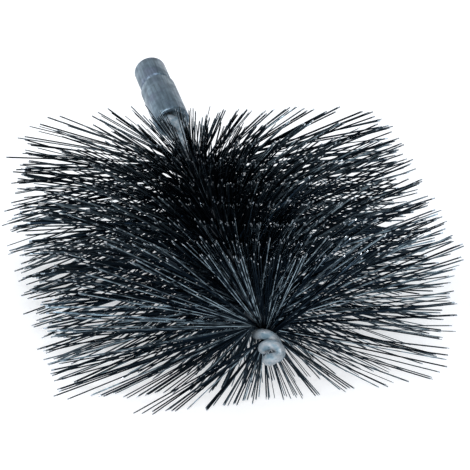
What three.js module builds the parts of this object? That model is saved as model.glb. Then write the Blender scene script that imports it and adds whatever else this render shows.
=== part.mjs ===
// Boiler brush with a flat, box-shaped field of steel bristles.
//
// One thick wire is folded in the middle, which makes the small eye at the tip, and its two halves
// are twisted round each other. Hundreds of straight bristle wires pass between the two strands and
// are clamped by the twist. They are trimmed to a block with rounded corners. A turned sleeve is
// pressed on the rear of the twisted stem, and its rear bore takes the thread of a sweeping rod.
//
// Millimetres. +X across the block, +Y from the eye to the sleeve, +Z up. The brush lies on its
// bottom bristles, so z = 0 is the plane of their tips. Inside the group the stem's axis is the
// Y axis, and a station y is counted from a little behind the first bristle.

import * as THREE from 'three';

// Bristle block
const blockWidth = 153;
const blockHeight = 67;
const blockSquareness = 5.2; // 2 trims the block to an ellipse, more makes its corners fuller
const restingFlatDepth = 0.5; // what lying on them takes off the bottom tips
const bristledLength = 119.5;
const bristleLead = 2.5; // from the first bristle to y = 0
const bristleThickness = 0.5;
const frontLeanShare = 0.07; // of a bristle's reach, towards the middle of the field
const rearLeanShare = 0.15;
const leaningShare = 1 / 3; // of the field's length, at each end
const leanPower = 1.5;
const wiresPerSlice = 50; // each wire shows on both sides of the stem, as two bristles
const sliceCount = 4;
const sliceGap = 0.3;

// Packed middle of the bristles, clamped between the two strands
const bedThickness = 0.6;

// Stem
const wireDiameter = 3.8;
const seatGap = 0.3;
const twistPitch = 28.2;
const firstStrandAngle = THREE.MathUtils.degToRad(190); // of one strand, at y = 0
const tipTightening = THREE.MathUtils.degToRad(45); // more turn than the pitch gives, behind y = 0
const tighteningLength = 9; // over which that fades to a third, and grows as fast towards the eye
const wireSides = 10;
const wireRingsPerPitch = 19;
const ringCrowding = 1.5; // 1 spaces the rings of the wire evenly, more crowds them at the eye

// Eye
const eyeWidth = 10.4;
const eyeCentreReach = 12; // from y = 0 to the centre of the eye's bend
const eyeSpreadLength = 4; // where the strands part
const eyeSettlingLength = 3; // from the front of the bend, where the twist fades out
const eyeSettlingTurn = THREE.MathUtils.degToRad(35); // that the bend is short of for it
const eyeRings = 12;

// Sleeve
const bareNeckLength = 30;
const sleeveLength = 42;
const sleeveDiameter = 14.3;
const sleeveRearDiameter = 13;
const sleeveChamfer = 0.7;
const grooveWidth = 3;
const grooveDepth = 1;
const grooveFromRear = 13.3;
const stemSeatDepth = 15;
const stemEndRelief = 1;
const mouthChamfer = 0.8;
const threadCoreDiameter = 8.5;
const threadBoreDepth = 17;
const threadMouthChamfer = 0.5;
const drillPointShare = 0.3; // height of a drilled bore's cone, as a share of its diameter
const sleeveSegments = 32;

const wireRadius = wireDiameter / 2;
const strandOffset = wireRadius + bedThickness / 2 + seatGap;
const stemEnvelopeRadius = strandOffset + wireRadius;
const eyeRadius = (eyeWidth - wireDiameter) / 2;
const turn = 2 * Math.PI;

const sleeveFrontY = bristledLength - bristleLead + bareNeckLength;
const sleeveRearY = sleeveFrontY + sleeveLength;
const stemRearY = sleeveFrontY + stemSeatDepth;
const eyeCentreY = -eyeCentreReach;
const bendFrontY = eyeCentreY - eyeRadius;
const eyeFrontY = bendFrontY - wireRadius;

const galvanised = new THREE.MeshStandardMaterial({ color: 0xa9b2b8, roughness: 0.42, metalness: 0.9 });
const blackSteel = new THREE.MeshStandardMaterial({ color: 0x14181d, roughness: 0.4, metalness: 0.6 });
const turnedSteel = new THREE.MeshStandardMaterial({ color: 0x7c8894, roughness: 0.35, metalness: 0.9 });

/** Makes a named piece. */
function piece(name, geometry, material) {
  const mesh = new THREE.Mesh(geometry, material);
  mesh.name = name;
  return mesh;
}

/** Angle of the first strand about the stem's axis, from +X towards +Z, at station y. */
function strandAngle(y) {
  const evenTurn = (turn * y) / twistPitch;
  const tightenedTurn = tipTightening * (1 - Math.exp(-y / tighteningLength));
  const settled = THREE.MathUtils.clamp((y - bendFrontY) / eyeSettlingLength, 0, 1);
  const lostTurn = eyeSettlingTurn * (1 - settled) ** 2;
  return firstStrandAngle + evenTurn + tightenedTurn + lostTurn;
}

/** Distance of each strand's middle from the stem's axis at station y. */
function strandRadius(y) {
  const closed = THREE.MathUtils.smoothstep(y, eyeCentreY, eyeCentreY + eyeSpreadLength);
  return THREE.MathUtils.lerp(eyeRadius, strandOffset, closed);
}

/** Point at a distance from the stem's axis, in a direction across it, at station y. */
function acrossAxis(radius, angle, y, target = new THREE.Vector3()) {
  return target.set(radius * Math.cos(angle), y, radius * Math.sin(angle));
}

/** Middle line of the folded wire: down one strand, round the eye, and back along the other. */
class FoldedWire extends THREE.Curve {
  constructor() {
    super();
    this.strandLength = stemRearY - eyeCentreY;
    this.strandRings = Math.round((wireRingsPerPitch * this.strandLength) / twistPitch);
    this.rings = 2 * this.strandRings + eyeRings;
  }

  getPoint(t, target = new THREE.Vector3()) {
    const ring = t * this.rings;
    const intoEye = (ring - this.strandRings) / eyeRings;
    if (intoEye > 0 && intoEye < 1) {
      const bend = Math.PI * intoEye;
      const y = eyeCentreY - eyeRadius * Math.sin(bend);
      return acrossAxis(eyeRadius * Math.cos(bend), strandAngle(y), y, target);
    }
    const returning = intoEye >= 1;
    const fromRear = (returning ? this.rings - ring : ring) / this.strandRings;
    const y = eyeCentreY + this.strandLength * (1 - fromRear) ** ringCrowding;
    const angle = strandAngle(y) + (returning ? Math.PI : 0);
    return acrossAxis(strandRadius(y), angle, y, target);
  }

  // The rings follow the parameter above, which gives the eye more of them than its length would.
  getUtoTmapping(u) {
    return u;
  }
}

/** The folded and twisted wire, with square-cut ends inside the sleeve. */
function makeStemWire() {
  const path = new FoldedWire();
  const section = new THREE.Shape();
  section.absarc(0, 0, wireRadius, 0, turn);
  return new THREE.ExtrudeGeometry(section, {
    steps: path.rings,
    extrudePath: path,
    curveSegments: wireSides / 2,
    bevelEnabled: false,
  });
}

/** Direction of the bristle that crosses the axis at station y: square to the line of the strands. */
function bristleAngle(y) {
  return strandAngle(y) - turn / 4;
}

/** Distance from the stem's axis to the trimmed surface of the block, in a direction across it. */
function blockReach(angle) {
  const across = Math.abs(Math.cos(angle) / (blockWidth / 2)) ** blockSquareness;
  const upright = Math.abs(Math.sin(angle) / (blockHeight / 2)) ** blockSquareness;
  return (across + upright) ** (-1 / blockSquareness);
}

/** Share of its reach by which the bristle at station y leans along the stem. */
function bristleLean(y) {
  const place = (y + bristleLead) / bristledLength;
  const nearFront = THREE.MathUtils.clamp(1 - place / leaningShare, 0, 1);
  const nearRear = THREE.MathUtils.clamp(1 - (1 - place) / leaningShare, 0, 1);
  return frontLeanShare * nearFront ** leanPower - rearLeanShare * nearRear ** leanPower;
}

/** A closed skin that is put together from points and four-cornered faces. */
class Skin {
  constructor() {
    this.positions = [];
    this.faces = [];
  }

  addPoint(point) {
    this.positions.push(...point.toArray());
    return this.positions.length / 3 - 1;
  }

  addFace([a, b, c, d]) {
    this.faces.push(a, b, c, a, c, d);
  }

  toGeometry() {
    const geometry = new THREE.BufferGeometry();
    geometry.setAttribute('position', new THREE.Float32BufferAttribute(this.positions, 3));
    geometry.setIndex(this.faces);
    geometry.computeVertexNormals();
    return geometry;
  }
}

/** Cross-section of the clamped middle at station y, as the skin's four points round it. */
function addBedSection(skin, y) {
  const along = acrossAxis(stemEnvelopeRadius, bristleAngle(y), 0);
  const through = acrossAxis(bedThickness / 2, bristleAngle(y) + turn / 4, 0);
  return [[1, 1], [-1, 1], [-1, -1], [1, -1]].map(([side, face]) => {
    const corner = new THREE.Vector3(0, y, 0).addScaledVector(along, side).addScaledVector(through, face);
    return skin.addPoint(corner);
  });
}

/** Corner of a bristle's trimmed tip. The bottom tips end in the plane that the brush lies on. */
function tipCorner(angle, lean, alongStem, throughBristle) {
  const direction = acrossAxis(1, angle, lean);
  const corner = acrossAxis(throughBristle, angle + turn / 4, alongStem);
  const floor = restingFlatDepth - blockHeight / 2;
  const trimmed = blockReach(angle);
  const toFloor = direction.z < 0 ? (floor - corner.z) / direction.z : trimmed;
  return corner.addScaledVector(direction, Math.min(trimmed, toFloor));
}

/** One bristle, grown out of a four-cornered root on the edge of the clamped middle. */
function addBristle(skin, root, y, angle) {
  const half = bristleThickness / 2;
  const corners = [[-half, -half], [half, -half], [half, half], [-half, half]];
  const lean = bristleLean(y);
  const tip = corners.map(([along, through]) => {
    return skin.addPoint(tipCorner(angle, lean, y + along, through));
  });
  root.forEach((point, index) => {
    const next = (index + 1) % root.length;
    skin.addFace([point, root[next], tip[next], tip[index]]);
  });
  skin.addFace(tip);
}

/**
 * One slice of the bristle field. The packed wires between the strands are a thin twisted strip,
 * and each wire leaves it as two bristles, straight across the stem from each other.
 */
function makeBristleSlice(slice) {
  const sliceLength = (bristledLength - (sliceCount - 1) * sliceGap) / sliceCount;
  const startY = slice * (sliceLength + sliceGap) - bristleLead;
  const wireSpacing = (sliceLength - bristleThickness) / (wiresPerSlice - 1);
  const skin = new Skin();
  let behind = null;
  for (let wire = 0; wire < wiresPerSlice; wire += 1) {
    const y = startY + bristleThickness / 2 + wire * wireSpacing;
    const near = addBedSection(skin, y - bristleThickness / 2);
    const far = addBedSection(skin, y + bristleThickness / 2);
    if (behind) {
      near.forEach((point, index) => {
        const next = (index + 1) % near.length;
        skin.addFace([behind[index], point, near[next], behind[next]]);
      });
    } else {
      skin.addFace(near);
    }
    skin.addFace([near[0], far[0], far[1], near[1]]);
    skin.addFace([near[2], far[2], far[3], near[3]]);
    addBristle(skin, [near[3], far[3], far[0], near[0]], y, bristleAngle(y));
    addBristle(skin, [near[1], far[1], far[2], near[2]], y, bristleAngle(y) + turn / 2);
    behind = far;
  }
  skin.addFace([behind[0], behind[3], behind[2], behind[1]]);
  return skin.toGeometry();
}

/** The turned sleeve: a blind bore for the stem in front, and one with a thread core at the rear. */
function makeSleeve() {
  const front = sleeveFrontY;
  const rear = sleeveRearY;
  const radius = sleeveDiameter / 2;
  const rearRadius = sleeveRearDiameter / 2;
  const stemBore = stemEnvelopeRadius + seatGap;
  const stemBoreEnd = stemRearY + wireRadius + stemEndRelief;
  const threadBore = threadCoreDiameter / 2;
  const threadBoreEnd = rear - threadBoreDepth;
  const grooveRear = rear - grooveFromRear;
  const grooveFront = grooveRear - grooveWidth;
  const profile = [
    [0, stemBoreEnd + drillPointShare * 2 * stemBore],
    [stemBore, stemBoreEnd],
    [stemBore, front + mouthChamfer],
    [stemBore + mouthChamfer, front],
    [radius - sleeveChamfer, front],
    [radius, front + sleeveChamfer],
    [radius, grooveFront],
    [radius - grooveDepth, grooveFront + grooveWidth / 3],
    [radius - grooveDepth, grooveRear - grooveWidth / 3],
    [rearRadius, grooveRear],
    [rearRadius, rear - sleeveChamfer],
    [rearRadius - sleeveChamfer, rear],
    [threadBore + threadMouthChamfer, rear],
    [threadBore, rear - threadMouthChamfer],
    [threadBore, threadBoreEnd],
    [0, threadBoreEnd - drillPointShare * threadCoreDiameter],
  ];
  return new THREE.LatheGeometry(profile.map(([x, y]) => new THREE.Vector2(x, y)), sleeveSegments);
}

const brush = new THREE.Group();
brush.position.set(0, -(eyeFrontY + sleeveRearY) / 2, blockHeight / 2 - restingFlatDepth);
brush.add(piece('stem_wire', makeStemWire(), galvanised));
brush.add(piece('socket', makeSleeve(), turnedSteel));
for (let slice = 0; slice < sliceCount; slice += 1) {
  brush.add(piece(`bristles_${slice + 1}`, makeBristleSlice(slice), blackSteel));
}

export default brush;
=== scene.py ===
"""Boiler brush with a flat, box-shaped field of steel bristles, dressed for rendering.

Metres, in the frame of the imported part: +X across the block, +Y from the eye to the socket and +Z
up. The bottom bristles rest on z = 0. A station is a distance along the stem from a place a little
behind the first bristle, and a bearing is an angle about the stem's axis, from +X towards +Z.
"""

import logging
import math
from collections.abc import Callable, Mapping, Sequence
from dataclasses import dataclass, field
from enum import Enum
from functools import cached_property
from typing import Self

import bmesh
import bpy
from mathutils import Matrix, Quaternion, Vector


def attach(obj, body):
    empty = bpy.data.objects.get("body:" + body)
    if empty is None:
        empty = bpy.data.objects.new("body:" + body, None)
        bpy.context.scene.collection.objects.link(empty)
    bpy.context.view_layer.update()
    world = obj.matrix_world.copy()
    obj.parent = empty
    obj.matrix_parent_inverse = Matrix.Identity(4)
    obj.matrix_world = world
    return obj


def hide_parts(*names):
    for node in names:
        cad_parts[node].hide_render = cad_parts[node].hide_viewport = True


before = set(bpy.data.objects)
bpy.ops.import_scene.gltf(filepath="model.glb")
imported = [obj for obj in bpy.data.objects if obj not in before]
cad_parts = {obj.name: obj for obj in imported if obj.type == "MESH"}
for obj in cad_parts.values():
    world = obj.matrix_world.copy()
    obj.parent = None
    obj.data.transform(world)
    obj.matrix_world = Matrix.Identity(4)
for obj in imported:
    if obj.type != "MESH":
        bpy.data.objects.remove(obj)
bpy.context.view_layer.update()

LOG = logging.getLogger("boiler_brush")
TURN = 2 * math.pi
MM = 0.001

Triple = tuple[float, float, float]
Colour = Triple


class Slot(Enum):
    """The record's material slots."""

    GALVANISED_WIRE = "galvanised_wire"
    SOCKET_STEEL = "socket_steel"
    BRISTLE_STEEL = "bristle_steel"


class SocketKind(Enum):
    """Kinds of input and output that the node groups have."""

    NUMBER = "NodeSocketFloat"
    WHOLE = "NodeSocketInt"
    VECTOR = "NodeSocketVector"
    MATERIAL = "NodeSocketMaterial"
    GEOMETRY = "NodeSocketGeometry"


class WireMark(Enum):
    """Names of the values that the wires carry for their materials."""

    LENGTH = "wire_length"
    AROUND = "wire_around"
    TOWARD_TIP = "toward_tip"
    TONE = "wire_tone"
    BEND = "wire_bend"


class Draw(Enum):
    """Each random draw's step from the field's seed. A shared draw takes two steps."""

    SHUFFLE = 0
    SHARED_BEARING = 1
    SHORTFALL = 3
    STACK = 5
    TONE = 8
    ROLL = 9
    SHARED_LEAN = 10
    SHARED_SIDEWAYS = 12
    SHARED_LENGTHWISE = 14


def operator(operation: str, turned: bool = False) -> Callable[["Signal", "Value"], "Signal"]:
    """Makes the method behind one of Python's operators.

    Args:
        operation: The sum that its node makes.
        turned: Whether the other value comes before the output.

    Returns:
        The method.
    """

    def reckon(output: "Signal", other: "Value") -> "Signal":
        """Reckons with an output and another value."""
        values = (other, output) if turned else (output, other)
        return output.writer.math(operation, *values)

    return reckon


class Signal:
    """A node's output, which can be reckoned with like a number or a vector."""

    __add__ = operator("ADD")
    __sub__ = operator("SUBTRACT")
    __rsub__ = operator("SUBTRACT", turned=True)
    __mul__ = operator("MULTIPLY")
    __truediv__ = operator("DIVIDE")
    __rtruediv__ = operator("DIVIDE", turned=True)
    __pow__ = operator("POWER")
    __gt__ = operator("GREATER_THAN")
    __lt__ = operator("LESS_THAN")

    def __init__(self, writer: "TreeWriter", socket: bpy.types.NodeSocket) -> None:
        """Wraps an output of a writer's tree."""
        self.writer, self.socket = writer, socket

    def __neg__(self) -> "Signal":
        """Turns this value's sign round."""
        return self * -1.0


Value = Signal | float | Sequence[float] | str | bpy.types.Material
Inputs = Mapping[int | str, Value]


class TreeWriter:
    """Adds nodes to one shading tree and wires them up."""

    tree_kind: str = "ShaderNodeTree"
    group_kind: str = "ShaderNodeGroup"

    def __init__(self, tree: bpy.types.NodeTree) -> None:
        """Starts on a tree, which has neither inputs nor outputs of its own yet.

        Args:
            tree: The tree that the nodes go into.
        """
        self.tree = tree
        self.given: dict[str, Signal] = {}
        self.result: bpy.types.Node | None = None

    @classmethod
    def of(cls, owner: bpy.types.Material | bpy.types.World) -> Self:
        """Starts on the emptied tree of a material or a world.

        Args:
            owner: The material or the world.

        Returns:
            The writer.
        """
        owner.use_nodes = True
        owner.node_tree.nodes.clear()
        return cls(owner.node_tree)

    @classmethod
    def group(
        cls, name: str, given: Mapping[str, SocketKind], result: Mapping[str, SocketKind]
    ) -> Self:
        """Starts a node group with named inputs and outputs.

        Args:
            name: The group's name.
            given: The kind of each input, by name.
            result: The kind of each output, by name.

        Returns:
            A writer whose given holds the group's inputs, and whose result takes its outputs.
        """
        writer = cls(bpy.data.node_groups.new(name, cls.tree_kind))
        for way, sockets in (("INPUT", given), ("OUTPUT", result)):
            for label, kind in sockets.items():
                writer.tree.interface.new_socket(label, in_out=way, socket_type=kind.value)
        outputs = writer.add("NodeGroupInput").outputs
        writer.given = {label: Signal(writer, outputs[label]) for label in given}
        writer.result = writer.add("NodeGroupOutput")
        return writer

    def add(self, kind: str, inputs: Inputs | None = None, **settings: object) -> bpy.types.Node:
        """Adds one node.

        Args:
            kind: The node's type.
            inputs: What each input gets, by its name or number.
            settings: The node's own settings.

        Returns:
            The new node.
        """
        node = self.tree.nodes.new(kind)
        for name, value in settings.items():
            setattr(node, name, value)
        self.feed(node, inputs or {})
        return node

    def feed(self, node: bpy.types.Node, inputs: Inputs) -> None:
        """Gives a node's inputs another node's output each, or a value of their own.

        Args:
            node: The node.
            inputs: What each input gets, by its number, or by the name of one that is in use.
        """
        for key, value in inputs.items():
            if isinstance(key, int):
                socket = node.inputs[key]
            else:
                socket = next(s for s in node.inputs if s.enabled and s.name == key)
            if isinstance(value, Signal):
                self.tree.links.new(value.socket, socket)
            else:
                socket.default_value = value

    def value(
        self, kind: str, inputs: Inputs | None = None, output: str = "", **settings: object
    ) -> Signal:
        """Adds one node for the sake of one output.

        Args:
            kind: The node's type.
            inputs: What each input gets, by its name or number.
            output: The output's name. Without it, the first output in use is taken.
            settings: The node's own settings.

        Returns:
            The output.
        """
        outputs = self.add(kind, inputs, **settings).outputs
        return Signal(self, next(s for s in outputs if s.enabled and output in ("", s.name)))

    def place(self, group: "TreeWriter", inputs: Inputs) -> dict[str, Signal]:
        """Places a node group.

        Args:
            group: The group's writer.
            inputs: What each of the group's inputs gets, by its name.

        Returns:
            The group's outputs by name.
        """
        node = self.add(self.group_kind, node_tree=group.tree)
        self.feed(node, inputs)
        return {socket.name: Signal(self, socket) for socket in node.outputs}

    def math(self, operation: str, *values: Value) -> Signal:
        """Adds a sum on numbers, or on vectors if one of its values is a vector output.

        Args:
            operation: The sum.
            values: What it is made of.

        Returns:
            Its result.
        """
        on_vectors = any(isinstance(v, Signal) and v.socket.type == "VECTOR" for v in values)
        kind = "ShaderNodeVectorMath" if on_vectors else "ShaderNodeMath"
        return self.value(kind, dict(enumerate(values)), operation=operation)

    def clamped(self, value: Value) -> Signal:
        """Holds a number between 0 and 1."""
        return self.value("ShaderNodeClamp", {"Value": value})

    def vector(self, x: Value, y: Value, z: Value) -> Signal:
        """Joins three numbers to a vector."""
        return self.value("ShaderNodeCombineXYZ", {0: x, 1: y, 2: z})

    def split(self, vector: Value) -> tuple[Signal, ...]:
        """Takes a vector apart into its three numbers."""
        node = self.add("ShaderNodeSeparateXYZ", {0: vector})
        return tuple(Signal(self, socket) for socket in node.outputs)

    def ramp(
        self,
        value: Value,
        start: Value,
        end: Value,
        low: Value = 0.0,
        high: Value = 1.0,
        smooth: bool = False,
    ) -> Signal:
        """Maps a range of numbers to another, and holds what lies beyond its ends.

        Args:
            value: The number.
            start: Where the first range starts.
            end: Where the first range ends.
            low: What start becomes.
            high: What end becomes.
            smooth: Whether the change eases in and out.

        Returns:
            The mapped number.
        """
        inputs = {"Value": value, "From Min": start, "From Max": end, "To Min": low, "To Max": high}
        style = "SMOOTHSTEP" if smooth else "LINEAR"
        return self.value("ShaderNodeMapRange", inputs, interpolation_type=style)

    def mix_colour(self, share: Value, first: Value, second: Value) -> Signal:
        """Blends two colours.

        Args:
            share: The second colour's share.
            first: The first colour.
            second: The second colour.

        Returns:
            The blend.
        """
        ends = (end if isinstance(end, Signal) else (*end, 1.0) for end in (first, second))
        inputs = dict(zip(("Factor", "A", "B"), (share, *ends)))
        return self.value("ShaderNodeMix", inputs, data_type="RGBA")

    def noise(self, vector: Value, scale: Value, detail: float) -> Signal:
        """Gives a noise that changes with a position."""
        inputs = {"Vector": vector, "Scale": scale, "Detail": detail}
        return self.value("ShaderNodeTexNoise", inputs)

    def bump(self, height: Value, strength: float, depth: float) -> Signal:
        """Turns a height between 0 and 1 into a normal, at a strength and a depth in metres."""
        inputs = {"Height": height, "Strength": strength, "Distance": depth}
        return self.value("ShaderNodeBump", inputs)

    def mark(self, mark: WireMark, output: str) -> Signal:
        """Reads, in a material, what the wires carry: output Fac for a number, else Vector."""
        return self.value("ShaderNodeAttribute", output=output, attribute_name=mark.value)

    def position(self) -> Signal:
        """Gives, in a material, the place in the object's own coordinates."""
        return self.value("ShaderNodeTexCoord", output="Object")


class GrowthWriter(TreeWriter):
    """Adds nodes to one geometry tree and wires them up."""

    tree_kind: str = "GeometryNodeTree"
    group_kind: str = "GeometryNodeGroup"

    def chance(self, low: Value, high: Value, item: Value, seed: Value) -> Signal:
        """Gives each item a number between two others that is always the same for one seed."""
        inputs = {"Min": low, "Max": high, "ID": item, "Seed": seed}
        return self.value("FunctionNodeRandomValue", inputs, data_type="FLOAT")

    def choose(self, test: Value, no: Value, yes: Value, kind: str = "FLOAT") -> Signal:
        """Takes one of two values by a test."""
        inputs = {"Switch": test, "False": no, "True": yes}
        return self.value("GeometryNodeSwitch", inputs, input_type=kind)

    def keep(self, geometry: Value, mark: WireMark, value: Value, kind: str) -> Signal:
        """Stores a value of a kind on each point of a geometry, under a mark's name."""
        inputs = {"Geometry": geometry, "Name": mark.value, "Value": value}
        return self.value("GeometryNodeStoreNamedAttribute", inputs, data_type=kind)

    def kept(self, mark: WireMark, kind: str) -> Signal:
        """Reads a stored value."""
        name = {"Name": mark.value}
        return self.value("GeometryNodeInputNamedAttribute", name, data_type=kind)

    def place_of_point(self) -> Signal:
        """Gives each point's place."""
        return self.value("GeometryNodeInputPosition")


def sizes_of(part: object) -> dict[str, float | Triple]:
    """Lists a dataclass's sizes by the names of the inputs that take them."""
    sizes = {name.replace("_", " ").title(): size for name, size in vars(part).items()}
    return {name: size for name, size in sizes.items() if isinstance(size, (int, float, tuple))}


def kinds_of(inputs: Mapping[str, object]) -> dict[str, SocketKind]:
    """Tells which kind of input each value needs."""
    kinds = {int: SocketKind.WHOLE, float: SocketKind.NUMBER}
    return {name: kinds.get(type(value), SocketKind.MATERIAL) for name, value in inputs.items()}


def grow(name: str, writer: TreeWriter, inputs: Mapping[str, object]) -> bpy.types.Object:
    """Runs a geometry tree once and keeps what it grows as a plain mesh.

    Args:
        name: The new object's name.
        writer: The tree's writer.
        inputs: The value of each of the tree's inputs, by name.

    Returns:
        The object, with its place in its mesh and no modifier left.
    """
    grown = bpy.data.objects.new(name, bpy.data.meshes.new(name))
    bpy.context.scene.collection.objects.link(grown)
    modifier = grown.modifiers.new("Growth", "NODES")
    modifier.node_group = writer.tree
    for item in writer.tree.interface.items_tree:
        if item.in_out == "INPUT":
            modifier[item.identifier] = inputs[item.name]
    shapes = bpy.context.evaluated_depsgraph_get()
    mesh = bpy.data.meshes.new_from_object(
        grown.evaluated_get(shapes), preserve_all_data_layers=True, depsgraph=shapes
    )
    grown.modifiers.remove(modifier)
    grown.data = mesh
    mesh.name = name
    return grown


def add_mesh_object(name: str, shape: bmesh.types.BMesh) -> bpy.types.Object:
    """Makes an object of a shape, with its faces outwards and smooth.

    Args:
        name: The object's name.
        shape: The shape, which is freed.

    Returns:
        The new object.
    """
    bmesh.ops.recalc_face_normals(shape, faces=shape.faces)
    for face in shape.faces:
        face.smooth = True
    mesh = bpy.data.meshes.new(name)
    shape.to_mesh(mesh)
    shape.free()
    made = bpy.data.objects.new(name, mesh)
    bpy.context.scene.collection.objects.link(made)
    return made


@dataclass(frozen=True)
class TwistLaw:
    """How the two strands of the stem turn round each other."""

    pitch: float = 28.2 * MM
    first_bearing: float = math.radians(190)
    tip_tightening: float = math.radians(45)
    tightening_length: float = 9 * MM
    eye_station: float = -12 * MM
    eye_radius: float = 3.3 * MM
    eye_spread: float = 4 * MM
    settling_length: float = 3 * MM
    settling_turn: float = math.radians(35)
    axis_height: float = 33 * MM
    origin_y: float = -85.9 * MM

    @cached_property
    def _group(self) -> GrowthWriter:
        """Writes the node group that gives the first strand's bearing at a station, once.

        Returns:
            The group's writer.
        """
        number = SocketKind.NUMBER
        w = GrowthWriter.group("Strand bearing", {"Station": number}, {"Bearing": number})
        station = w.given["Station"]
        even = station * (TURN / self.pitch)
        decay = w.math("EXPONENT", station / -self.tightening_length)
        tightened = (1.0 - decay) * self.tip_tightening
        from_fold = station - (self.eye_station - self.eye_radius)
        lost = (1.0 - w.clamped(from_fold / self.settling_length)) ** 2.0
        turned = even + tightened + lost * self.settling_turn
        w.feed(w.result, {"Bearing": turned + self.first_bearing})
        return w

    def write_bearing(self, w: TreeWriter, station: Value) -> Signal:
        """Gives the first strand's bearing at a station."""
        return w.place(self._group, {"Station": station})["Bearing"]

    def write_place(self, w: TreeWriter, radius: Signal, bearing: Signal, station: Value) -> Signal:
        """Gives a point round the stem.

        Args:
            w: The writer of the tree.
            radius: The point's distance from the stem's axis.
            bearing: Its bearing.
            station: Its station.

        Returns:
            The point.
        """
        across = radius * w.math("COSINE", bearing)
        upward = radius * w.math("SINE", bearing)
        return w.vector(across, station + self.origin_y, upward + self.axis_height)


@dataclass(frozen=True)
class Lines:
    """Fine lines: how many to a metre along each axis, and their depth."""

    fineness: Triple
    depth: float = 0.0


@dataclass(frozen=True)
class Patches:
    """Soft-edged patches: how many to a metre, the share they cover, and how soft they are."""

    scale: float
    coverage: float
    softness: float


class Effects:
    """The node groups that more than one finish uses."""

    line_edges: tuple[float, float] = (0.32, 0.68)
    line_detail: float = 4.0
    film_detail: float = 3.0

    def __init__(self) -> None:
        """Builds each group once."""
        self._lines = self._write_lines()
        self._film = self._write_film()

    def _write_lines(self) -> TreeWriter:
        """Writes the fine lines that a die or a tool leaves along a surface.

        Returns:
            The group's writer.
        """
        number, vector = SocketKind.NUMBER, SocketKind.VECTOR
        given = {"Vector": vector, "Fineness": vector, "Depth": number}
        w = TreeWriter.group("Drawn lines", given, {"Mask": number, "Height": number})
        lines = w.noise(w.given["Vector"] * w.given["Fineness"], 1.0, self.line_detail)
        mask = w.ramp(lines, *self.line_edges)
        w.feed(w.result, {"Mask": mask, "Height": mask * w.given["Depth"]})
        return w

    def _write_film(self) -> TreeWriter:
        """Writes the soft-edged patches of oil, dust and dull oxide.

        Returns:
            The group's writer.
        """
        number = SocketKind.NUMBER
        sizes = {"Scale": number, "Coverage": number, "Softness": number}
        w = TreeWriter.group("Film", {"Vector": SocketKind.VECTOR, **sizes}, {"Mask": number})
        patches = w.noise(w.given["Vector"], w.given["Scale"], self.film_detail)
        edge, softness = 1.0 - w.given["Coverage"], w.given["Softness"]
        mask = w.ramp(patches, edge - softness, edge + softness, smooth=True)
        w.feed(w.result, {"Mask": mask})
        return w

    def lines(self, w: TreeWriter, place: Value, lines: Lines) -> tuple[Signal, Signal]:
        """Draws lines that follow some coordinates, and gives their mask and their height."""
        drawn = w.place(self._lines, {"Vector": place, **sizes_of(lines)})
        return drawn["Mask"], drawn["Height"]

    def film(self, w: TreeWriter, place: Value, patches: Patches) -> Signal:
        """Spreads patches that follow some coordinates, and gives their mask."""
        return w.place(self._film, {"Vector": place, **sizes_of(patches)})["Mask"]


def start_material(name: str) -> tuple[bpy.types.Material, TreeWriter, bpy.types.Node]:
    """Makes a material with an empty Principled shader.

    Args:
        name: The material's name.

    Returns:
        The material, a writer on its tree, and its shader node.
    """
    material = bpy.data.materials.new(name)
    w = TreeWriter.of(material)
    surface = w.value("ShaderNodeBsdfPrincipled")
    w.add("ShaderNodeOutputMaterial", {"Surface": surface})
    return material, w, surface.socket.node


@dataclass(frozen=True)
class GalvanisedWireFinish:
    """Zinc-coated wire: pale, softly glossy and streaked, and darkened between the bristles, partly
    as soot and partly as painted shade.
    """

    bright_zinc: Colour = (0.315, 0.34, 0.37)
    dull_zinc: Colour = (0.12, 0.19, 0.24)
    # The grime colour is also the colour of the painted shade between the bristles.
    grime: Colour = (0.016, 0.02, 0.026)
    streaks: Lines = Lines((9.0, 9.0, 90.0), 0.25)
    streak_share: float = 0.35
    dulled: Patches = Patches(420.0, 0.48, 0.16)
    soiled: Patches = Patches(900.0, 0.34, 0.06)
    soil_share: float = 0.35
    # The stretch of stem painted dark along the bristle field, partly as soot and partly as the
    # bristles' shade.
    soot_and_shade_from: float = -87 * MM
    soot_and_shade_to: float = 33 * MM
    soot_and_shade_edge: float = 4 * MM
    soot_and_shade_share: float = 0.9
    metallic: float = 0.45
    glossy: float = 0.48
    matt: float = 0.7
    bump_strength: float = 0.35
    bump_depth: float = 0.05 * MM

    def make(self, effects: Effects) -> bpy.types.Material:
        """Makes the material.

        Args:
            effects: The shared node groups.

        Returns:
            The new material.
        """
        material, w, shader = start_material("galvanised_wire")
        along_wire = w.vector(0.0, 0.0, w.mark(WireMark.LENGTH, "Fac"))
        on_wire = w.mark(WireMark.AROUND, "Vector") + along_wire
        place = w.position()
        streaks, height = effects.lines(w, on_wire, self.streaks)
        dulled = effects.film(w, place, self.dulled)
        soiled = effects.film(w, place, self.soiled)
        zinc = w.mix_colour(dulled, self.bright_zinc, self.dull_zinc)
        zinc = w.mix_colour(streaks * self.streak_share, zinc, self.dull_zinc)
        _, along_stem, _ = w.split(place)
        # Painted shade, partly soot: the stem is darker where the bristles cover it.
        behind_eye = w.ramp(along_stem, self.soot_and_shade_from - self.soot_and_shade_edge, self.soot_and_shade_from)
        before_neck = w.ramp(along_stem, self.soot_and_shade_to + self.soot_and_shade_edge, self.soot_and_shade_to)
        soot_and_shade = behind_eye * before_neck * self.soot_and_shade_share
        soil_and_shade = w.math("MAXIMUM", soiled * self.soil_share, soot_and_shade)
        inputs = {
            "Base Color": w.mix_colour(soil_and_shade, zinc, self.grime),
            "Roughness": w.ramp(dulled, 0.0, 1.0, self.glossy, self.matt),
            "Metallic": self.metallic,
            "Normal": w.bump(height, self.bump_strength, self.bump_depth),
        }
        w.feed(shader, inputs)
        return material


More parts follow.
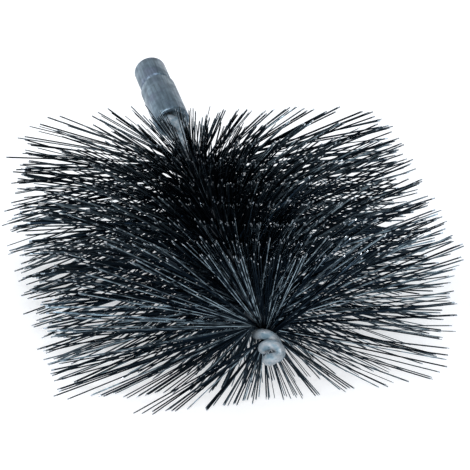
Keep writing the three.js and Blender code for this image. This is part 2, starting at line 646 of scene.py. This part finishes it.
@dataclass(frozen=True)
class SocketSteelFinish:
    """Bare machined bar: blue-grey, mottled, with fine lines along it and turning rings."""

    clean: Colour = (0.24, 0.335, 0.415)
    shaded: Colour = (0.05, 0.08, 0.11)
    violet: Colour = (0.18, 0.20, 0.31)
    drawn: Lines = Lines((900.0, 70.0, 900.0), 0.6)
    drawn_share: float = 0.75
    turned: Lines = Lines((40.0, 5200.0, 40.0), 0.5)
    mottled: Patches = Patches(230.0, 0.5, 0.14)
    mottled_share: float = 0.5
    tinted: Patches = Patches(140.0, 0.4, 0.1)
    tinted_share: float = 0.5
    metallic: float = 0.7
    glossy: float = 0.3
    matt: float = 0.5
    bump_strength: float = 0.4
    bump_depth: float = 0.03 * MM

    def make(self, effects: Effects) -> bpy.types.Material:
        """Makes the material.

        Args:
            effects: The shared node groups.

        Returns:
            The new material.
        """
        material, w, shader = start_material("socket_steel")
        place = w.position()
        drawn, drawn_height = effects.lines(w, place, self.drawn)
        _, turned_height = effects.lines(w, place, self.turned)
        mottled = effects.film(w, place, self.mottled)
        tinted = effects.film(w, place, self.tinted)
        bare = w.mix_colour(mottled * self.mottled_share, self.clean, self.shaded)
        tempered = w.mix_colour(tinted * self.tinted_share, bare, self.violet)
        height = drawn_height + turned_height
        inputs = {
            "Base Color": w.mix_colour(drawn * self.drawn_share, tempered, self.shaded),
            "Roughness": w.ramp(mottled, 0.0, 1.0, self.glossy, self.matt),
            "Metallic": self.metallic,
            "Normal": w.bump(height, self.bump_strength, self.bump_depth),
        }
        w.feed(shader, inputs)
        return material


@dataclass(frozen=True)
class BristleSteelFinish:
    """Oil-blackened spring wire with a blue cast and some wires worn bright, with painted sheen on
    the upper front where the light falls, rubbed and painted lighter towards its tips, and bright
    cut ends.
    """

    deep_black: Colour = (0.004, 0.007, 0.011)
    blued: Colour = (0.010, 0.021, 0.036)
    # The bright colour of worn wires, also used for the painted sheen on the upper front and the
    # painted light towards the tips.
    wear_and_sheen_bright: Colour = (0.24, 0.315, 0.365)
    sheared_tip: Colour = (0.36, 0.40, 0.44)
    glint: Colour = (0.8, 0.92, 1.0)
    streaks: Lines = Lines((1.0, 14.0, 1.0))
    wire_spread: float = 97.0
    oiled: Patches = Patches(60.0, 0.5, 0.2)
    glossy: float = 0.22
    matt: float = 0.38
    wear_and_sheen_from: float = 0.74
    wear_and_sheen_to: float = 0.95
    patchy_from: float = 0.15
    patchy_to: float = 0.75
    # Painted sheen on the upper front of the field, where the light falls.
    sheen_front_from: float = -66 * MM
    sheen_front_to: float = -82 * MM
    sheen_share: float = 0.25
    sheen_upper_from: float = 33 * MM
    sheen_upper_to: float = 45 * MM
    # Rubbed wear and painted light: lighter towards the tips, where the light falls above the
    # neighbouring bristles' shade.
    rubbed_and_lit_from: float = 0.8
    rubbed_and_lit_share: float = 0.06
    tip_share: float = 0.985

    def make(self, effects: Effects) -> bpy.types.Material:
        """Makes the material.

        Args:
            effects: The shared node groups.

        Returns:
            The new material.
        """
        material, w, shader = start_material("bristle_steel")
        tone = w.mark(WireMark.TONE, "Fac")
        toward_tip = w.mark(WireMark.TOWARD_TIP, "Fac")
        place = w.position()
        on_wire = w.vector(tone * self.wire_spread, toward_tip, 0.0)
        streaks, _ = effects.lines(w, on_wire, self.streaks)
        oiled = effects.film(w, place, self.oiled)
        steel = w.mix_colour(streaks * tone, self.deep_black, self.blued)
        _, along_stem, height = w.split(place)
        # Painted sheen: the upper front of the field is made lighter where the light falls on it.
        front = w.ramp(along_stem, self.sheen_front_from, self.sheen_front_to, 0.0, self.sheen_share)
        painted_sheen = front * w.ramp(height, self.sheen_upper_from, self.sheen_upper_to)
        # Wires worn bright at random, plus the painted sheen on the upper front.
        bare = w.ramp(tone + painted_sheen, self.wear_and_sheen_from, self.wear_and_sheen_to)
        worn_and_sheen = bare * w.ramp(streaks, self.patchy_from, self.patchy_to)
        # Rubbed and painted lighter towards the tip.
        rubbed_and_lit = w.ramp(toward_tip, self.rubbed_and_lit_from, 1.0, 0.0, self.rubbed_and_lit_share)
        steel = w.mix_colour(w.clamped(worn_and_sheen + rubbed_and_lit), steel, self.wear_and_sheen_bright)
        inputs = {
            "Base Color": w.mix_colour(toward_tip > self.tip_share, steel, self.sheared_tip),
            "Roughness": w.ramp(oiled, 0.0, 1.0, self.matt, self.glossy),
            "Metallic": 1.0,
            "Specular Tint": (*self.glint, 1.0),
        }
        w.feed(shader, inputs)
        return material


@dataclass
class FoldedStem:
    """One thick wire, folded to an eye at the tip, with its halves twisted to the socket."""

    twist: TwistLaw
    wire_radius: float = 1.9 * MM
    strand_offset: float = 2.5 * MM
    rear_station: float = 162 * MM
    rings_per_strand: int = 420
    eye_rings: int = 36
    sides: int = 24

    def _write_tree(self, inputs: Mapping[str, object]) -> GrowthWriter:
        """Writes the tree that bends the wire and gives it its thickness.

        Args:
            inputs: The value of each of the tree's inputs, by name.

        Returns:
            The tree's writer.
        """
        w = GrowthWriter.group("Folded wire", kinds_of(inputs), {"Wire": SocketKind.GEOMETRY})
        given, twist = w.given, self.twist
        strand_rings, eye_rings = given["Rings Per Strand"], given["Eye Rings"]
        rings = strand_rings * 2.0 + eye_rings
        line = w.value("GeometryNodeMeshLine", {"Count": rings + 1.0})
        ring = w.value("GeometryNodeInputIndex")

        going = ring < strand_rings + eye_rings
        from_rear = w.choose(going, rings - ring, ring) / strand_rings
        run = (given["Rear Station"] - twist.eye_station) * from_rear
        station = given["Rear Station"] - run
        turned = twist.write_bearing(w, station) + (1.0 - going) * math.pi
        spread = (twist.eye_station, twist.eye_station + twist.eye_spread)
        radii = (twist.eye_radius, given["Strand Offset"])
        radius = w.ramp(station, *spread, *radii, smooth=True)
        strand = twist.write_place(w, radius, turned, station)

        bend = (ring - strand_rings) / eye_rings * math.pi
        across = w.math("COSINE", bend) * twist.eye_radius
        eye_station = twist.eye_station - w.math("SINE", bend) * twist.eye_radius
        eye_bearing = twist.write_bearing(w, eye_station)
        eye = twist.write_place(w, across, eye_bearing, eye_station)

        path = w.choose((ring > strand_rings) * going, strand, eye, "VECTOR")
        placed = w.value("GeometryNodeSetPosition", {"Geometry": line, "Position": path})
        curve = w.value("GeometryNodeMeshToCurve", {0: placed})
        length = w.value("GeometryNodeSplineParameter", output="Length")
        curve = w.keep(curve, WireMark.LENGTH, length, "FLOAT")
        section = w.value(
            "GeometryNodeCurvePrimitiveCircle",
            {"Resolution": given["Sides"], "Radius": given["Wire Radius"]},
        )
        outward = w.math("NORMALIZE", w.place_of_point())
        section = w.keep(section, WireMark.AROUND, outward, "FLOAT_VECTOR")
        skin = w.value(
            "GeometryNodeCurveToMesh",
            {"Curve": curve, "Profile Curve": section, "Fill Caps": True},
        )
        smooth = w.value("GeometryNodeSetShadeSmooth", {"Geometry": skin})
        real = w.value("GeometryNodeRealizeInstances", {"Geometry": smooth})
        finished = {"Geometry": real, "Material": given["Material"]}
        w.feed(w.result, {"Wire": w.value("GeometryNodeSetMaterial", finished)})
        return w

    def build(self, finish: bpy.types.Material) -> bpy.types.Object:
        """Builds the wire.

        Args:
            finish: The wire's material.

        Returns:
            The wire.
        """
        inputs = {**sizes_of(self), "Material": finish}
        return grow("folded_stem", self._write_tree(inputs), inputs)

    def dress(self, wire: bpy.types.Object) -> None:
        """Puts the wire in the place of its solid.

        Args:
            wire: The wire.
        """
        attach(wire, "root")
        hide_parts("stem_wire")


@dataclass
class BristleField:
    """The straight steel wires between the strands, trimmed to a block, in four slices."""

    twist: TwistLaw
    block_width: float = 153 * MM
    block_height: float = 67 * MM
    top_left_squareness: float = 5.2
    top_right_squareness: float = 9.0
    bottom_squareness: float = 12.0
    right_fullness: float = 0.6
    bottom_fullness: float = 0.35
    ragged_length: float = 16 * MM
    ragged_slack: float = 1.6
    lead: float = 3.6 * MM
    bristled_length: float = 120.6 * MM
    wire_width: float = 0.52 * MM
    wire_thickness: float = 0.24 * MM
    wires: int = 1080
    slices: int = 4
    shuffle_from: float = 0.05
    shuffle_to: float = 0.95
    bearing_scatter: float = math.radians(4.0)
    trim_scatter: float = 8 * MM
    bunch_size: int = 5
    bunch_pull: float = 0.55
    bunch_unity: float = 0.42
    bend: float = 1.6 * MM
    lean_spread: float = 3.0
    lean_growth: float = 1.5
    front_lean: float = 0.07
    rear_lean: float = -0.15
    lean_scatter: float = 0.025
    roll_scatter: float = math.radians(22)
    stack: float = 0.3 * MM
    corners: int = 4
    segments: int = 4
    seed: int = 11

    def _write_tree(self, inputs: Mapping[str, object]) -> GrowthWriter:
        """Writes the tree that grows one slice of the field.

        Args:
            inputs: The value of each of the tree's inputs, by name.

        Returns:
            The tree's writer.
        """
        w = GrowthWriter.group(
            "Bristle slice", kinds_of(inputs), {"Bristles": SocketKind.GEOMETRY}
        )
        given = w.given
        slice_wires = w.math("FLOOR", given["Wires"] / given["Slices"])
        index = w.value("GeometryNodeInputIndex")
        side = w.math("MODULO", index, 2.0)
        wire = w.math("FLOOR", index / 2.0) + given["Slice"] * slice_wires
        bristle = wire * 2.0 + side

        early, late = given["Shuffle From"], given["Shuffle To"]
        shuffled = wire + self._drawn(w, Draw.SHUFFLE, wire, early, late)
        spacing = given["Bristled Length"] / given["Wires"]
        into_field = shuffled * spacing
        bunch = w.math("FLOOR", shuffled / given["Bunch Size"])
        bunch_side = bunch * 2.0 + side
        bunch_middle = (bunch + 0.5) * given["Bunch Size"]
        aimed_from = shuffled + (bunch_middle - shuffled) * given["Bunch Pull"]
        aimed_from = aimed_from * spacing - given["Lead"]
        strand = self.twist.write_bearing(w, aimed_from)
        strayed = self._shared(w, Draw.SHARED_BEARING, bunch, wire) * given["Bearing Scatter"]
        turned = strand + strayed - math.pi / 2 + side * math.pi
        across, upward = w.math("COSINE", turned), w.math("SINE", turned)

        reach = self._write_reach(w, across, upward)
        slack = self._write_slack(w, reach, across, upward, into_field)
        shortfall = 1.0 - self._drawn(w, Draw.SHORTFALL, bristle, 0.0) ** 2.0
        reach = reach - shortfall * slack * given["Trim Scatter"]
        leaning = self._shared(w, Draw.SHARED_LEAN, bunch_side, bristle)
        lean = self._write_lean(w, into_field, leaning)
        tip = w.vector(across * reach, lean * reach, upward * reach)

        stacked = self._drawn(w, Draw.STACK, wire) * given["Stack"]
        station = into_field - given["Lead"]
        root = self.twist.write_place(w, stacked, turned + math.pi / 2, station)
        points = w.value("GeometryNodePoints", {"Count": slice_wires * 2.0, "Position": root})
        bend = given["Bend"]
        sideways = self._shared(w, Draw.SHARED_SIDEWAYS, bunch_side, bristle) * bend
        lengthwise = self._shared(w, Draw.SHARED_LENGTHWISE, bunch_side, bristle) * bend
        bow = w.vector(-(upward * sideways), lengthwise, across * sideways)
        points = w.keep(points, WireMark.BEND, bow, "FLOAT_VECTOR")
        tone = self._drawn(w, Draw.TONE, bristle, 0.0)
        points = w.keep(points, WireMark.TONE, tone, "FLOAT")

        length = w.math("LENGTH", tip)
        placed = w.value(
            "GeometryNodeInstanceOnPoints",
            {
                "Points": points,
                "Instance": self._write_bristle(w),
                "Rotation": self._write_rotation(w, tip, wire),
                "Scale": w.vector(given["Wire Width"], given["Wire Thickness"], length),
            },
        )
        real = w.value("GeometryNodeRealizeInstances", {"Geometry": placed})
        finished = {"Geometry": self._write_bow(w, real), "Material": given["Material"]}
        w.feed(w.result, {"Bristles": w.value("GeometryNodeSetMaterial", finished)})
        return w

    @staticmethod
    def _drawn(
        w: GrowthWriter, draw: Draw, item: Value, low: Value = -1.0, high: Value = 1.0
    ) -> Signal:
        """Makes one random draw for each item, between two numbers."""
        return w.chance(low, high, item, w.given["Seed"] + float(draw.value))

    @staticmethod
    def _shared(w: GrowthWriter, draw: Draw, bunch: Value, item: Value) -> Signal:
        """Makes a random draw between -1 and 1 that a bunch has partly in common.

        Args:
            w: The writer.
            draw: The draw.
            bunch: The number of the item's bunch.
            item: The item's own number.

        Returns:
            The draw's result for each item.
        """
        seed, unity = w.given["Seed"], w.given["Bunch Unity"]
        common = w.chance(-1.0, 1.0, bunch, seed + float(draw.value))
        own = w.chance(-1.0, 1.0, item, seed + float(draw.value + 1))
        return common * unity + own * (1.0 - unity)

    @staticmethod
    def _half_block(w: GrowthWriter) -> tuple[Signal, Signal]:
        """Gives half the width and half the height of the trimmed block."""
        return w.given["Block Width"] / 2.0, w.given["Block Height"] / 2.0

    def _write_reach(self, w: GrowthWriter, across: Signal, upward: Signal) -> Signal:
        """Gives the distance from the axis to the trimmed block, in a direction across the stem.

        Args:
            w: The writer.
            across: The direction's share along X.
            upward: The direction's share along Z.

        Returns:
            The distance. A bristle that points down ends where it rests on the ground.
        """
        left, right = w.given["Top Left Squareness"], w.given["Top Right Squareness"]
        power = w.choose(across > 0.0, left, right)
        power = w.choose(upward > 0.0, w.given["Bottom Squareness"], power)
        half_width, half_height = self._half_block(w)
        wide = w.math("ABSOLUTE", across / half_width) ** power
        high = w.math("ABSOLUTE", upward / half_height) ** power
        trimmed = (wide + high) ** (-1.0 / power)
        # The small number keeps level and rising bristles off the ground's rule.
        down = w.math("MAXIMUM", -upward, 0.001)
        return w.math("MINIMUM", trimmed, self.twist.axis_height / down)

    def _write_slack(
        self, w: GrowthWriter, reach: Signal, across: Signal, upward: Signal, into_field: Signal
    ) -> Signal:
        """Gives how unevenly a bristle is trimmed.

        Args:
            w: The writer.
            reach: The bristle's reach before it is trimmed unevenly.
            across: Its direction's share along X.
            upward: Its direction's share along Z.
            into_field: Its distance from the front of the field.

        Returns:
            The share of the trim's scatter. Long bristles and the rear ones on top are the most
            ragged, and those to the right and below the least.
        """
        given = w.given
        half_width, _ = self._half_block(w)
        slack = reach / half_width
        length = given["Bristled Length"]
        ragged = w.ramp(into_field, length - given["Ragged Length"], length)
        ragged = ragged * w.math("MAXIMUM", upward, 0.0)
        slack = slack + ragged * (given["Ragged Slack"] - slack)
        slack = slack * (1.0 - w.math("MAXIMUM", across, 0.0) * given["Right Fullness"])
        return slack * (1.0 - (upward < 0.0) * given["Bottom Fullness"])

    @staticmethod
    def _write_lean(w: GrowthWriter, into_field: Signal, leaning: Signal) -> Signal:
        """Gives the share of its reach by which a bristle leans along the stem.

        Args:
            w: The writer.
            into_field: The bristle's distance from the front of the field.
            leaning: The bristle's own number between -1 and 1.

        Returns:
            The lean: the end turns of the field lean towards its middle.
        """
        given = w.given
        spread, growth = given["Lean Spread"], given["Lean Growth"]
        share = into_field / given["Bristled Length"] * spread
        front = w.clamped(1.0 - share) ** growth
        rear = w.clamped(share - (spread - 1.0)) ** growth
        lean = front * given["Front Lean"] + rear * given["Rear Lean"]
        return lean + leaning * given["Lean Scatter"]

    def _write_rotation(self, w: GrowthWriter, tip: Signal, wire: Signal) -> Signal:
        """Points a bristle to its tip, with its wide side against the strands.

        Args:
            w: The writer.
            tip: The tip's place from the root.
            wire: The wire's number, for its own roll about its length.

        Returns:
            The bristle's rotation.
        """
        align = "FunctionNodeAlignRotationToVector"
        aimed = w.value(align, {"Vector": tip}, axis="Z")
        against = {"Rotation": aimed, "Vector": (0.0, 1.0, 0.0)}
        aimed = w.value(align, against, axis="X", pivot_axis="Z")
        roll = self._drawn(w, Draw.ROLL, wire) * w.given["Roll Scatter"]
        rolled = {"Rotation": aimed, "Rotate By": w.vector(0.0, 0.0, roll)}
        return w.value("FunctionNodeRotateRotation", rolled, rotation_space="LOCAL")

    @staticmethod
    def _write_bristle(w: GrowthWriter) -> Signal:
        """Makes one straight flat bristle of unit length, width and thickness, along Z.

        Args:
            w: The writer.

        Returns:
            The bristle.
        """
        sizes = {
            "Vertices": w.given["Corners"],
            "Side Segments": w.given["Segments"],
            "Radius": math.sqrt(0.5),
            "Depth": 1.0,
        }
        rod = w.value("GeometryNodeMeshCylinder", sizes, fill_type="NGON")
        stood = {
            "Geometry": rod,
            "Translation": (0.0, 0.0, 0.5),
            "Rotation": (0.0, 0.0, math.pi / 4),
        }
        rod = w.value("GeometryNodeTransform", stood)
        rod = w.value("GeometryNodeSetShadeSmooth", {"Geometry": rod, "Shade Smooth": False})
        _, _, height = w.split(w.place_of_point())
        return w.keep(rod, WireMark.TOWARD_TIP, height, "FLOAT")

    def _write_bow(self, w: GrowthWriter, bristles: Signal) -> Signal:
        """Bows each bristle, and keeps it inside the trimmed block and above the ground.

        Args:
            w: The writer.
            bristles: The straight bristles.

        Returns:
            The bowed bristles.
        """
        bow = w.kept(WireMark.BEND, "FLOAT_VECTOR")
        toward_tip = w.kept(WireMark.TOWARD_TIP, "FLOAT")
        place = w.place_of_point() + bow * toward_tip ** 2.0
        half_width, half_height = self._half_block(w)
        # A metre each way leaves the bristles free along the stem.
        lowest = w.vector(-half_width, -1.0, 0.0)
        highest = w.vector(half_width, 1.0, half_height + self.twist.axis_height)
        place = w.math("MINIMUM", w.math("MAXIMUM", place, lowest), highest)
        bowed = w.value("GeometryNodeSetPosition", {"Geometry": bristles, "Position": place})
        cleaned = {"Geometry": bowed, "Name": WireMark.BEND.value}
        return w.value("GeometryNodeRemoveAttribute", cleaned)

    def build(self, finish: bpy.types.Material) -> list[bpy.types.Object]:
        """Builds the slices.

        Args:
            finish: The bristles' material.

        Returns:
            The slices, from the eye to the socket.
        """
        inputs = {**sizes_of(self), "Slice": 0, "Material": finish}
        tree = self._write_tree(inputs)
        return [
            grow(f"bristle_field_{number + 1}", tree, {**inputs, "Slice": number})
            for number in range(self.slices)
        ]

    def dress(self, slices: list[bpy.types.Object]) -> None:
        """Puts each slice in the place of its solid.

        Args:
            slices: The slices, from the eye to the socket.
        """
        for number, bristles in enumerate(slices):
            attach(bristles, "root")
            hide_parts(f"bristles_{number + 1}")


@dataclass
class RodSocket:
    """The turned sleeve that is pressed on the stem, threaded inside for a sweeping rod."""

    twist: TwistLaw
    front_station: float = 147 * MM
    length: float = 42 * MM
    radius: float = 7.15 * MM
    rear_radius: float = 6.5 * MM
    chamfer: float = 0.7 * MM
    groove_width: float = 3 * MM
    groove_depth: float = 1 * MM
    groove_from_rear: float = 13.3 * MM
    stem_bore: float = 4.7 * MM
    stem_bore_depth: float = 17.9 * MM
    mouth_chamfer: float = 0.8 * MM
    drill_cone: float = 0.6
    thread_core: float = 4.25 * MM
    thread_depth: float = 0.75 * MM
    thread_pitch: float = 1.5 * MM
    thread_length: float = 13.75 * MM
    thread_bore_depth: float = 17 * MM
    thread_mouth: float = 0.75 * MM
    thread_flat: float = 1 / 6
    run_out_pitches: float = 2.0
    steps_per_pitch: int = 6
    segments: int = 96
    rounding: float = 0.12 * MM

    def _turned_line(self) -> list[Triple]:
        """Lists the section's corners.

        Returns:
            Radius, station and share of the thread's depth of each corner, from the bottom of the
            stem's bore over the outside to the bottom of the thread's bore.
        """
        front, rear = self.front_station, self.front_station + self.length
        groove_rear = rear - self.groove_from_rear
        groove_front = groove_rear - self.groove_width
        groove_radius = self.radius - self.groove_depth
        bore_end = front + self.stem_bore_depth
        third = self.groove_width / 3
        plain = [
            (0.0, bore_end + self.drill_cone * self.stem_bore),
            (self.stem_bore, bore_end),
            (self.stem_bore, front + self.mouth_chamfer),
            (self.stem_bore + self.mouth_chamfer, front),
            (self.radius - self.chamfer, front),
            (self.radius, front + self.chamfer),
            (self.radius, groove_front),
            (groove_radius, groove_front + third),
            (groove_radius, groove_rear - third),
            (self.rear_radius, groove_rear),
            (self.rear_radius, rear - self.chamfer),
            (self.rear_radius - self.chamfer, rear),
            (self.thread_core + self.thread_mouth, rear),
        ]
        line = [(radius, station, 0.0) for radius, station in self._rounded(plain)]
        step = self.thread_pitch / self.steps_per_pitch
        thread_start = rear - self.thread_mouth
        for number in range(round(self.thread_length / step) + 1):
            left = self.thread_length - number * step
            share = min(1.0, left / (self.run_out_pitches * self.thread_pitch))
            line.append((self.thread_core, thread_start - number * step, share))
        bore_rear = rear - self.thread_bore_depth
        line.append((self.thread_core, bore_rear, 0.0))
        line.append((0.0, bore_rear - self.drill_cone * self.thread_core, 0.0))
        return line

    def _rounded(self, corners: list[tuple[float, float]]) -> list[tuple[float, float]]:
        """Breaks each corner of a section into a small round.

        Args:
            corners: Radius and station of each corner.

        Returns:
            The section with its inner corners replaced by three points each.
        """
        line = [corners[0]]
        for before, corner, after in zip(corners, corners[1:], corners[2:]):
            here = Vector(corner)
            legs = [(Vector(point) - here) for point in (before, after)]
            cut = min(self.rounding, *(leg.length / 3 for leg in legs))
            first, last = (here + leg.normalized() * cut for leg in legs)
            middle = (first + last) / 4 + here / 2
            line += [tuple(first), tuple(middle), tuple(last)]
        return [*line, corners[-1]]

    def _tooth(self, phase: float) -> float:
        """Gives the thread's depth, from 0 to 1, at a share of a pitch."""
        on_flank = 1 - self.thread_flat - abs(2 * (phase % 1.0) - 1)
        return min(1.0, max(0.0, on_flank / (1 - 2 * self.thread_flat)))

    def build(self, finish: bpy.types.Material) -> bpy.types.Object:
        """Builds the sleeve.

        Args:
            finish: The sleeve's material.

        Returns:
            The sleeve.
        """
        shape = bmesh.new()
        rings = []
        for radius, station, thread in self._turned_line():
            count = 1 if radius == 0.0 else self.segments
            ring = []
            for step in range(count):
                bearing = TURN * step / self.segments
                phase = station / self.thread_pitch + step / self.segments
                r = radius + thread * self.thread_depth * self._tooth(phase)
                place = (
                    r * math.cos(bearing),
                    station + self.twist.origin_y,
                    r * math.sin(bearing) + self.twist.axis_height,
                )
                ring.append(shape.verts.new(place))
            rings.append(ring)
        for one, two in zip(rings, rings[1:]):
            for step in range(self.segments):
                after = (step + 1) % self.segments
                corners = [one[step % len(one)], one[after % len(one)]]
                corners += [two[after % len(two)], two[step % len(two)]]
                shape.faces.new(dict.fromkeys(corners))
        sleeve = add_mesh_object("rod_socket", shape)
        sleeve.data.materials.append(finish)
        return sleeve

    def dress(self, sleeve: bpy.types.Object) -> None:
        """Puts the sleeve in the place of its solid.

        Args:
            sleeve: The sleeve.
        """
        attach(sleeve, "root")
        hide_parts("socket")


def direction(azimuth: float, elevation: float) -> Vector:
    """Gives the direction towards a viewer.

    Args:
        azimuth: 0 in front of the eye, on the -Y side, and 90 on the +X side, in degrees.
        elevation: Height above the horizon, in degrees.

    Returns:
        The direction from the object to the viewer.
    """
    a, e = math.radians(azimuth), math.radians(elevation)
    return Vector((math.sin(a) * math.cos(e), -math.cos(a) * math.cos(e), math.sin(e)))


@dataclass(frozen=True)
class Lamp:
    """One square studio lamp."""

    name: str
    azimuth: float
    elevation: float
    power: float
    size: float
    distance: float = 1.5
    colour: Colour = (1.0, 1.0, 1.0)

    def build(self, target: Vector) -> None:
        """Hangs the lamp.

        Args:
            target: Where it points.
        """
        data = bpy.data.lights.new(self.name, "AREA")
        data.energy, data.size, data.color = self.power, self.size, self.colour
        lamp = bpy.data.objects.new(self.name, data)
        towards = direction(self.azimuth, self.elevation)
        lamp.location = target + towards * self.distance
        lamp.rotation_mode = "QUATERNION"
        lamp.rotation_quaternion = towards.to_track_quat("Z", "Y")
        bpy.context.scene.collection.objects.link(lamp)


@dataclass
class Studio:
    """White ground and surroundings, soft lamps, and the camera of the photograph."""

    floor_size: float = 12.0
    floor_drop: float = 0.05 * MM
    floor_colour: Colour = (0.785, 0.80, 0.82)
    floor_white: Colour = (1.74, 1.76, 1.80)
    floor_white_share: float = 0.45
    # A painted shadow: under the brush the floor's white glow has a smaller share.
    painted_shadow_white_share: float = 0.27
    painted_shadow_centre: Triple = (0.0, -0.012, 0.0)
    painted_shadow_size: Triple = (0.088, 0.060, 1.0)
    painted_shadow_to: float = 0.6
    painted_shadow_fade_end: float = 1.5
    wall_light: float = 0.35
    ceiling_light: float = 0.05
    ceiling_from: float = math.sin(math.radians(8))
    ceiling_to: float = math.sin(math.radians(40))
    camera_place: Vector = field(default_factory=lambda: Vector((-0.26135, -0.86323, 0.59945)))
    camera_azimuth: float = -17.58
    camera_elevation: float = 32.70
    camera_roll: float = 6.50
    focal_length: float = 212.83
    sensor_width: float = 36.0
    seen_from: float = 0.05
    seen_to: float = 50.0
    lamp_target: Vector = field(default_factory=lambda: Vector((0.0, 0.0, 0.033)))
    lamps: tuple[Lamp, ...] = (
        Lamp("key_lamp", -24.0, 26.0, 25.0, 1.2),
        Lamp("rear_lamp", 200.0, 50.0, 1.0, 1.3),
        Lamp("top_lamp", 160.0, 78.0, 8.0, 1.0, colour=(0.84, 0.93, 1.0)),
        Lamp("left_lamp", -112.0, 38.0, 7.0, 0.35),
    )

    def build_camera(self) -> None:
        """Sets up the camera where the photograph was taken."""
        data = bpy.data.cameras.new("photo_camera")
        data.lens = self.focal_length
        data.sensor_width = self.sensor_width
        data.clip_start, data.clip_end = self.seen_from, self.seen_to
        camera = bpy.data.objects.new("photo_camera", data)
        camera.location = self.camera_place
        camera.rotation_mode = "QUATERNION"
        back = direction(self.camera_azimuth, self.camera_elevation)
        level = back.to_track_quat("Z", "Y")
        camera.rotation_quaternion = level @ Quaternion((0, 0, 1), math.radians(self.camera_roll))
        bpy.context.scene.collection.objects.link(camera)
        bpy.context.scene.camera = camera

    @staticmethod
    def _seen_directly(w: TreeWriter) -> Signal:
        """Tells rays that end in the camera or a reflection from those that light things.

        Args:
            w: The writer.

        Returns:
            1 for the rays that are seen, and else 0.
        """
        kinds = ("Is Camera Ray", "Is Glossy Ray", "Is Transmission Ray")
        rays = w.add("ShaderNodeLightPath").outputs
        camera, glossy, through = (Signal(w, rays[kind]) for kind in kinds)
        return w.math("MAXIMUM", camera, w.math("MAXIMUM", glossy, through))

    def build_floor(self) -> None:
        """Lays the pale floor, which looks white and keeps the brush's shadow, with a painted
        shadow under the brush where its white glow is weaker.
        """
        shape = bmesh.new()
        bmesh.ops.create_grid(shape, x_segments=1, y_segments=1, size=self.floor_size / 2)
        floor = add_mesh_object("studio_floor", shape)
        floor.location.z = -self.floor_drop
        material = bpy.data.materials.new("floor_paper")
        w = TreeWriter.of(material)
        paper = w.value("ShaderNodeBsdfDiffuse", {"Color": (*self.floor_colour, 1.0)})
        white = w.value("ShaderNodeEmission", {"Color": (*self.floor_white, 1.0)})
        # Painted shadow: the white glow's share drops in an ellipse under the brush.
        from_painted_shadow = w.math("LENGTH", (w.position() - self.painted_shadow_centre) / self.painted_shadow_size)
        edges = (self.painted_shadow_to, self.painted_shadow_fade_end)
        shares = (self.painted_shadow_white_share, self.floor_white_share)
        share = self._seen_directly(w) * w.ramp(from_painted_shadow, *edges, *shares, smooth=True)
        mixed = w.value("ShaderNodeMixShader", {0: share, 1: paper, 2: white})
        w.add("ShaderNodeOutputMaterial", {"Surface": mixed})
        floor.data.materials.append(material)

    def build_surroundings(self) -> None:
        """Makes the world: white to look at, and softer as a light."""
        world = bpy.data.worlds.new("white_studio")
        bpy.context.scene.world = world
        w = TreeWriter.of(world)
        _, _, height = w.split(w.value("ShaderNodeTexCoord", output="Generated"))
        wall = w.ramp(self._seen_directly(w), 0.0, 1.0, self.wall_light, 1.0)
        strength = w.ramp(height, self.ceiling_from, self.ceiling_to, wall, self.ceiling_light)
        white = {"Color": (1.0, 1.0, 1.0, 1.0), "Strength": strength}
        w.add("ShaderNodeOutputWorld", {"Surface": w.value("ShaderNodeBackground", white)})

    def build(self) -> None:
        """Builds the whole studio."""
        self.build_camera()
        self.build_floor()
        self.build_surroundings()
        for lamp in self.lamps:
            lamp.build(self.lamp_target)
        bpy.context.scene.view_settings.view_transform = "Standard"


def report(piece: bpy.types.Object) -> None:
    """Logs a piece's name and its number of triangles."""
    piece.data.calc_loop_triangles()
    LOG.info("%s: %d triangles", piece.name, len(piece.data.loop_triangles))


def main() -> None:
    """Builds the brush and its studio."""
    logging.basicConfig(level=logging.INFO, format="%(name)s: %(message)s")
    effects = Effects()
    twist = TwistLaw()

    stem = FoldedStem(twist)
    wire = stem.build(GalvanisedWireFinish().make(effects))
    stem.dress(wire)
    bristles = BristleField(twist)
    slices = bristles.build(BristleSteelFinish().make(effects))
    bristles.dress(slices)
    socket = RodSocket(twist)
    sleeve = socket.build(SocketSteelFinish().make(effects))
    socket.dress(sleeve)
    for piece in (wire, *slices, sleeve):
        report(piece)

    Studio().build()


if __name__ == "__main__":
    main()
